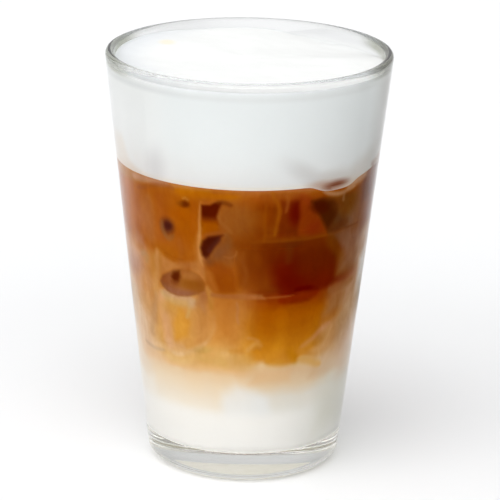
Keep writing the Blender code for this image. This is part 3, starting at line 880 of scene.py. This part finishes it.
def paint_foam(side, radius):
    """White, a little blue at the side and grey on top, with the coffee's shadows low down.

    The grey top is painted shade, as are the grey round the right and the blue-grey at the top's left by
    the wall.
    """
    side.colours[:] = FOAM_SIDE
    side.paint((255, 255, 255), ease(-side.bearing, 30, 46) * (1 - ease(-side.bearing, 70, 90)) * 0.6)
    side.paint((247, 242, 234), 1 - ease(side.height, 94.5, 96.5))
    side.wash((222, 216, 208), 0.6, [(30, 94), (38, 97), (50, 98), (62, 100), (84, 105), (110, 104),
                                     (110, 92), (40, 92)], 7)
    side.dab((208, 207, 210), 0.4, (-44.4, 98.4), 3.2, 5.0, -12, soft=0.95)
    side.dab((214, 212, 211), 0.5, (27, 98.4), 7.0, 2.4, -34, soft=0.95)
    side.dab((216, 212, 208), 0.45, (40, 96.6), 4.6, 1.6, -10, soft=0.95)
    side.dab((190, 146, 122), 0.7, (38, 94.4), 5.0, 1.2, -6, soft=0.95)
    side.dab((124, 54, 26), 0.9, (43, 93.8), 3.8, 1.15, 4, soft=0.95)
    side.streak((228, 206, 186), 0.6, [(40, 92.9), (46, 92.8), (52, 93.2), (58, 94)], 1.3, 1.0, 0.5)
    side.wash((238, 226, 214), 0.7, [(-100, 93), (-100, 97), (-60, 96.4), (-50, 94)], 3)
    # Painted shade: the foam greyer round the right.
    side.paint((180, 178, 174), ease(side.bearing, 58, 82) * (1 - ease(side.bearing, 96, 120)) * 0.85)
    side.wash((246, 236, 224), 0.6, [(-100, 94), (-100, 105), (-70, 104), (-62, 96)], 5)
    side.wash((140, 92, 60), 0.7, [(72, 93), (70, 96.4), (84, 98.4), (94, 97), (94, 93)], 2.4)
    rim = drink_radius(FOAM_LEVEL)
    top = ease(side.height, FOAM_LEVEL - FOAM_TOP_DEPTH, FOAM_LEVEL - 1.5)
    top *= 1 - ease(radius, rim - 0.5, rim)
    # Painted shade: the top greyer than the side, as more light falls on it.
    side.paint(FOAM_TOP, top)
    left = -radius * np.sin(np.radians(side.bearing))
    front = radius * np.cos(np.radians(side.bearing))
    # Painted shade: blue-grey on the top's left, out by the wall.
    side.paint((210, 214, 219), ease(radius, 26, 39) * top * ease(left, 8, 36) * 0.6)
    off_spot = np.hypot(left - 25, (front + 17) * 0.8) / 3.4
    side.paint((232, 220, 188), (1 - ease(off_spot, 0.3, 1)) * top * 0.5)


def piece(name, bm, material, slot, *nodes):
    """A finished mesh as an object that rides on the body and stands for its nodes."""
    mesh = bpy.data.meshes.new(name)
    bm.to_mesh(mesh)
    bm.free()
    mesh.shade_smooth()
    mesh.set_sharp_from_angle(angle=SHARP_EDGE)
    mesh.materials.append(material)
    made = bpy.data.objects.new(name, mesh)
    bpy.context.scene.collection.objects.link(made)
    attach(made, "root")
    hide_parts(*nodes)
    return made


def points_of(mesh):
    """The mesh's points in millimetres."""
    points = np.empty(len(mesh.vertices) * 3, np.float32)
    mesh.vertices.foreach_get("co", points)
    return points.reshape(-1, 3).astype(float) / MM


def move_points(mesh, points):
    mesh.vertices.foreach_set("co", (points * MM).astype(np.float32).ravel())
    mesh.update()


def bearings_of(points):
    return np.degrees(np.arctan2(points[:, 0], -points[:, 1]))


def reach_of(points):
    return np.hypot(points[:, 0], points[:, 1])


def touching(mesh, marked):
    """Which points share an edge with a marked one."""
    pairs = np.empty(len(mesh.edges) * 2, np.int32)
    mesh.edges.foreach_get("vertices", pairs)
    one, other = pairs.reshape(-1, 2).T
    touched = np.zeros(len(marked), bool)
    touched[one[marked[other]]] = True
    touched[other[marked[one]]] = True
    return touched


def store_look(mesh, side):
    look = mesh.color_attributes.new("look", "FLOAT_COLOR", "POINT")
    look.data.foreach_set("color", side.stored().ravel())


def make_glass():
    lip_height = HEIGHT - WALL / 2
    lip_centre = (outer_radius(lip_height) - WALL / 2, lip_height)
    lip = arc(lip_centre, WALL / 2, math.pi - LEAN, -LEAN, LIP_STEPS)
    inner_floor = [(r, FLOOR) for r in INNER_FLOOR_RINGS]
    bowl = rounded_corner(inner_radius, FLOOR, FLOOR_ROUNDING, BOWL_STEPS)[::-1]
    foot = rounded_corner(outer_radius, 0.0, FOOT_ROUNDING, FOOT_STEPS)
    punt = []
    for i in range(PUNT_STEPS + 1):
        reach = math.cos(math.pi / 2 * i / PUNT_STEPS)
        punt.append((PUNT_RADIUS * reach, PUNT_DEPTH * (1 - reach**2)))
    body = spun([*inner_floor, *bowl, *lip, *foot, *punt], GLASS_SECTORS, GLASS_CUTS)
    piece("tumbler", body, glass_finish(), "clear_glass", "glass")


def layer_body(bottom, top, row, cuts, ring=LEVEL_RING, rounding=0.0):
    """A layer of the drink in rows and rings, out to just inside the wall's face, with flat levels."""
    corner = [(drink_radius(bottom), bottom)]
    if rounding:
        corner = rounded_corner(drink_radius, bottom, rounding, MILK_CORNER_STEPS)
    lid = [(r, top) for r in evenly(0.0, drink_radius(top), ring)]
    side = [(drink_radius(z), z) for z in evenly(top, corner[0][1], row)[1:-1]]
    underside = [(r, bottom) for r in evenly(corner[-1][0], 0.0, ring)[1:]]
    return spun([*lid, *side, *corner, *underside], LAYER_SECTORS, cuts)


def make_wavy(mesh, bottom, top, bottom_swells, top_swells):
    """Moves a layer's levels to their waves, and its side up and down the wall with them."""
    points = points_of(mesh)
    reach, bearing = reach_of(points), bearings_of(points)
    share = np.clip((points[:, 2] - bottom) / (top - bottom), 0, 1)
    rise = (1 - share) * swelling(bearing, bottom_swells) + share * swelling(bearing, top_swells)
    rise *= np.minimum(1, reach / drink_radius(points[:, 2])) ** LEVEL_FADE
    stretch = drink_radius(points[:, 2] + rise) / drink_radius(points[:, 2])
    points[:, :2] *= stretch[:, None]
    points[:, 2] += rise
    move_points(mesh, points)


def make_layer(name, look, bottom, top, bottom_swells, top_swells, *grid):
    """A painted layer of the drink, named for its node. The grid is what layer_body takes."""
    layer = piece(name + "_layer", layer_body(bottom, top, *grid), look, name, name)
    make_wavy(layer.data, bottom, top, bottom_swells, top_swells)
    side = Side(points_of(layer.data))
    paint_drink(side)
    store_look(layer.data, side)


def make_drink():
    drink = drink_finish()
    make_layer("coffee", drink, MILKY_COFFEE_LEVEL, COFFEE_LEVEL, MILKY_COFFEE_SWELLS, COFFEE_SWELLS,
               PAINTED_ROW, PAINTED_CUTS)
    make_layer("milky_coffee", drink, MILK_LEVEL, MILKY_COFFEE_LEVEL, MILK_SWELLS, MILKY_COFFEE_SWELLS,
               PAINTED_ROW, PAINTED_CUTS)
    make_layer("milk", milk_finish(), FLOOR - INTO_WALL, MILK_LEVEL, (), MILK_SWELLS,
               MILK_ROW, MILK_CUTS, LEVEL_RING, FLOOR_ROUNDING)
    return drink


def make_cube(name, node, drink):
    """A cube as a fine mesh whose outer face lies against the wall, painted as the drink is."""
    bm = bmesh.new()
    bm.from_mesh(node.data)
    bmesh.ops.remove_doubles(bm, verts=bm.verts, dist=ICE_MERGE * MM)
    cube = piece(name.replace("ice_", "cube_"), bm, drink, "ice", name)
    remesh = cube.modifiers.new("fine", "REMESH")
    remesh.mode = "VOXEL"
    remesh.voxel_size = ICE_GRAIN * MM
    fine = bpy.data.meshes.new_from_object(cube.evaluated_get(bpy.context.evaluated_depsgraph_get()))
    cube.modifiers.clear()
    cube.data = fine
    points = points_of(fine)
    reach, height = reach_of(points), points[:, 2]
    foam_foot = COFFEE_LEVEL + swelling(bearings_of(points), COFFEE_SWELLS)
    in_face = (reach > inner_radius(height) - ICE_FACE_DEPTH) & (height <= foam_foot - ICE_UNDER_FOAM)
    proud = np.where(touching(fine, ~in_face), -ICE_PROUD, ICE_PROUD)
    stretch = np.where(in_face, (drink_radius(height) + proud) / reach, 1.0)
    points[:, :2] *= stretch[:, None]
    move_points(fine, points)
    fine.shade_smooth()
    side = Side(points)
    paint_drink(side)
    store_look(fine, side)


def make_ice(drink):
    for name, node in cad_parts.items():
        if name.startswith("ice_"):
            make_cube(name, node, drink)


def make_foam():
    body = layer_body(COFFEE_LEVEL, FOAM_LEVEL, FOAM_ROW, FOAM_CUTS, FOAM_RING)
    foam = piece("foam_cap", body, foam_finish(), "foam", "foam")
    make_wavy(foam.data, COFFEE_LEVEL, FOAM_LEVEL, COFFEE_SWELLS, FOAM_SWELLS)
    points = points_of(foam.data)
    off_wall = reach_of(points) < drink_radius(FOAM_LEVEL) - 0.1
    for i in np.nonzero((points[:, 2] > FOAM_LEVEL - FOAM_TOP_DEPTH) & off_wall)[0]:
        place = Vector(points[i]) / FOAM_MOUND
        points[i][2] += FOAM_RELIEF * (noise.noise(place) + 0.4 * noise.noise(place * 2.7))
    move_points(foam.data, points)
    side = Side(points)
    paint_foam(side, reach_of(points))
    store_look(foam.data, side)


def make_sky():
    """A dim room with a broad soft light at the front left, and weaker ones overhead and behind."""
    world = bpy.data.worlds.new("studio")
    bpy.context.scene.world = world
    world.use_nodes = True
    nodes = Nodes(world.node_tree)
    gaze = nodes.add("ShaderNodeTexCoord", output="Generated")
    glow = ROOM_STRENGTH
    for aim, edge, strength in (FRONT_LIGHT, TOP_LIGHT, BACK_LIGHT):
        nearness = nodes.vector("DOT_PRODUCT", gaze, aim, output="Value")
        glow = nodes.eased(nearness, edge, 1.0, 0.0, strength) + glow
    nodes.feed("Strength", glow, "Background")
    nodes.tree.nodes["Background"].inputs["Color"].default_value = (1, 1, 1, 1)


def flat_sheet(name, middle, size, material):
    bm = bmesh.new()
    bmesh.ops.create_grid(bm, x_segments=1, y_segments=1, size=0.5)
    place = Matrix.Translation(middle) @ Matrix.Diagonal((*size, 1, 1))
    bmesh.ops.transform(bm, matrix=place, verts=bm.verts)
    mesh = bpy.data.meshes.new(name)
    bm.to_mesh(mesh)
    bm.free()
    mesh.materials.append(material)
    sheet = bpy.data.objects.new(name, mesh)
    bpy.context.scene.collection.objects.link(sheet)
    return sheet


def make_floor():
    """Pale, with a weak painted glow, an emission, where the glass stands, for the light that comes down
    through the glass.
    """
    pale, nodes = finish("pale_floor", FLOOR_COLOUR, 0.6, Specular_IOR_Level=0.2, Emission_Strength=1.0)
    off = nodes.vector("LENGTH", nodes.place(), output="Value")
    under_glass = nodes.eased(off, *FOOT_GLOW_EDGE, 1.0, 0.0)
    nodes.feed("Emission Color", nodes.tinted(under_glass, BLACK, FOOT_GLOW))
    flat_sheet("floor", (0, 0, 0), FLOOR_SIZE, pale)


def make_dark_card():
    """Lies on the floor round the glass and before it, and is seen only in reflections.

    So the front of the glass reflects no floor. The card fades out behind the glass.
    """
    black, nodes = finish("dark_card", BLACK, 1.0, Specular_IOR_Level=0.0)
    place = nodes.place()
    shift = nodes.eased(nodes.part(place, "X"), *DARK_CARD_SHIFT_EDGE, 0.0, DARK_CARD_SHIFT)
    shown = nodes.eased(nodes.part(place, "Y") - shift, *DARK_CARD_FADE, 1.0, 0.0)
    off_hole = nodes.vector("DISTANCE", place, DARK_CARD_HOLE_MIDDLE, output="Value")
    shown *= nodes.eased(off_hole, *DARK_CARD_HOLE, 0.0, 1.0)
    nodes.feed("Alpha", shown)
    card = flat_sheet("dark_card", DARK_CARD_MIDDLE, DARK_CARD_SIZE, black)
    card.visible_camera = False
    card.visible_diffuse = False
    card.visible_transmission = False
    card.visible_shadow = False


def make_camera():
    lens = bpy.data.cameras.new("camera")
    lens.lens = LENS
    lens.sensor_width = SENSOR
    lens.clip_start = CLIP_START
    eye = bpy.data.objects.new("camera", lens)
    bpy.context.scene.collection.objects.link(eye)
    pitch, yaw, roll = (math.radians(a) for a in (CAMERA_PITCH, CAMERA_YAW, CAMERA_ROLL))
    turn = Matrix.Rotation(yaw, 4, "Z") @ Matrix.Rotation(math.pi / 2 + pitch, 4, "X")
    eye.matrix_world = Matrix.Translation(CAMERA_PLACE) @ (turn @ Matrix.Rotation(roll, 4, "Z"))
    bpy.context.scene.camera = eye


def main():
    noise.seed_set(SWIRL_SEED)
    make_camera()
    make_floor()
    make_dark_card()
    make_sky()
    make_glass()
    drink = make_drink()
    make_ice(drink)
    make_foam()
    scene = bpy.context.scene
    scene.view_settings.view_transform = "Standard"
    scene.cycles.max_bounces = LIGHT_BOUNCES
    scene.cycles.transmission_bounces = LIGHT_BOUNCES
    scene.cycles.glossy_bounces = GLOSSY_BOUNCES


main()
